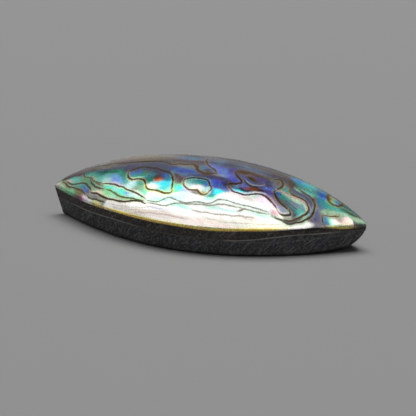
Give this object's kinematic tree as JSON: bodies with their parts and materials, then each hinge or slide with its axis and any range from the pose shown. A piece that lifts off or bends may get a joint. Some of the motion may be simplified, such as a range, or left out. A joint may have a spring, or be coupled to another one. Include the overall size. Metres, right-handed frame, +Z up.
{
  "type": "abalone shell cabochon",
  "caption": "Polished marquise cabochon of abalone shell, domed iridescent nacre glued on a flat black backing, for setting in a bezel or gluing down.",
  "frame": {"origin": "on the flat underside, below the middle of the stone", "axes": "+X along the stone from tip to tip, towards the end whose underside is ground up; +Y across it; +Z up through the dome"},
  "size_m": [0.04, 0.017, 0.009],
  "materials": {
    "nacre": "high polish, iridescent mother of pearl with dark growth lines",
    "brown_black_backing": "ground, fine slanting scratches",
    "glue": "ground flush, pale",
    "charcoal_backing": "ground, slanting sanding scratches"
  },
  "bodies": {
    "root": {"nacre_cap": "nacre", "upper_backing": "brown_black_backing", "glue_film": "glue", "lower_backing": "charcoal_backing"}
  },
  "joints": []
}
